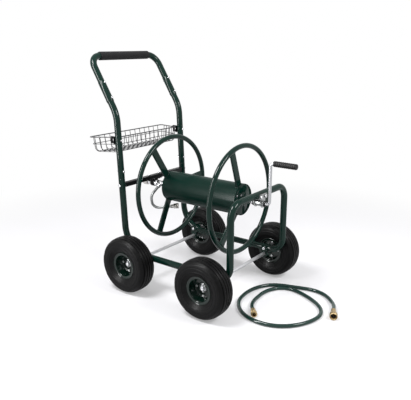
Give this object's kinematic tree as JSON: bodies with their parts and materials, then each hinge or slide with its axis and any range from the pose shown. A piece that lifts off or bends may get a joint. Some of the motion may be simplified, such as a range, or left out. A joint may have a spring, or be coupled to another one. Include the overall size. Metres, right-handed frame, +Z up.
{
  "type": "garden hose reel cart",
  "caption": "Four-wheeled tube-frame cart carrying a crank-wound hose reel on a lengthwise shaft, with a raked push handle, a wire basket and a loose leader hose.",
  "frame": {"origin": "on the ground, under the middle of the cart's bounding box (the loose leader hose left out)", "axes": "+X forward, from the push handle towards the crank; +Y to the left; +Z up"},
  "size_m": [1.1725, 0.662, 1.0615],
  "materials": {
    "enamel": "dark green gloss enamel",
    "black_enamel": "satin black enamel",
    "zinc": "bright zinc plating",
    "basket_wire": "dark grey powder-coated steel wire",
    "foam": "black closed-cell foam",
    "grip_plastic": "ribbed black plastic",
    "bush_plastic": "black acetal",
    "seal_rubber": "black seal rubber",
    "tyre": "matt black tyre rubber",
    "rim_enamel": "very dark green enamel",
    "brass": "machined brass",
    "hose": "teal-green hose cover"
  },
  "bodies": {
    "cart_frame": {"left_side_frame": "enamel", "right_side_frame": "enamel", "front_frame": "enamel", "rear_crossbar": "black_enamel", "handle_legs": "enamel", "upper_handle": "enamel", "handle_sleeves": "enamel", "frame_spigots": "zinc", "handle_grip": "foam", "frame_bolts": "zinc", "frame_nuts": "zinc", "axles": "zinc", "axle_brackets": "enamel", "axle_washers": "zinc", "cotter_pins": "zinc", "wire_basket": "basket_wire", "basket_clips": "black_enamel", "swivel_bracket": "black_enamel", "swivel_body": "zinc", "swivel_seals": "seal_rubber", "front_bearing_bracket": "zinc", "front_bearing_bushes": "bush_plastic", "leader_hose": "hose", "hose_male_end": "brass", "hose_female_tail": "brass", "leader_washer": "seal_rubber"},
    "reel": {"drum": "enamel", "drum_end_plates": "enamel", "drum_screws": "zinc", "rear_hoop": "enamel", "front_hoop": "enamel", "reel_spokes": "enamel", "crank": "zinc", "crank_pin": "zinc", "gooseneck": "zinc", "swivel_rotor": "zinc", "outlet_coupling": "brass"},
    "grip": {"crank_grip": "grip_plastic"},
    "supply_nut": {"inlet_nut": "brass"},
    "leader_nut": {"hose_swivel_nut": "brass"},
    "rear_left_wheel": {"rear_left_tyre": "tyre", "rear_left_inner_tube": "tyre", "rear_left_rim": "rim_enamel", "rear_left_hub": "zinc", "rear_left_rim_bolts": "zinc"},
    "rear_right_wheel": {"rear_right_tyre": "tyre", "rear_right_inner_tube": "tyre", "rear_right_rim": "rim_enamel", "rear_right_hub": "zinc", "rear_right_rim_bolts": "zinc"},
    "front_left_wheel": {"front_left_tyre": "tyre", "front_left_inner_tube": "tyre", "front_left_rim": "rim_enamel", "front_left_hub": "zinc", "front_left_rim_bolts": "zinc"},
    "front_right_wheel": {"front_right_tyre": "tyre", "front_right_inner_tube": "tyre", "front_right_rim": "rim_enamel", "front_right_hub": "zinc", "front_right_rim_bolts": "zinc"}
  },
  "joints": [
    {"name": "reel_spin", "type": "hinge", "parent": "cart_frame", "child": "reel", "pos_m": [0.02375, 0, 0.444], "axis": [1, 0, 0], "continuous": true},
    {"name": "crank_grip_spin", "type": "hinge", "parent": "reel", "child": "grip", "pos_m": [0.42775, 0, 0.622], "axis": [1, 0, 0], "continuous": true},
    {"name": "supply_nut_spin", "type": "hinge", "parent": "cart_frame", "child": "supply_nut", "pos_m": [-0.33925, 0, 0.444], "axis": [1, 0, 0], "continuous": true},
    {"name": "leader_nut_spin", "type": "hinge", "parent": "cart_frame", "child": "leader_nut", "pos_m": [0.67036, 0.02316, 0.0172], "axis": [0.42, -0.9075, 0], "continuous": true},
    {"name": "rear_left_wheel_spin", "type": "hinge", "parent": "cart_frame", "child": "rear_left_wheel", "pos_m": [-0.20125, 0.284, 0.13], "axis": [0, 1, 0], "continuous": true},
    {"name": "rear_right_wheel_spin", "type": "hinge", "parent": "cart_frame", "child": "rear_right_wheel", "pos_m": [-0.20125, -0.284, 0.13], "axis": [0, 1, 0], "continuous": true},
    {"name": "front_left_wheel_spin", "type": "hinge", "parent": "cart_frame", "child": "front_left_wheel", "pos_m": [0.22675, 0.284, 0.13], "axis": [0, 1, 0], "continuous": true},
    {"name": "front_right_wheel_spin", "type": "hinge", "parent": "cart_frame", "child": "front_right_wheel", "pos_m": [0.22675, -0.284, 0.13], "axis": [0, 1, 0], "continuous": true}
  ]
}
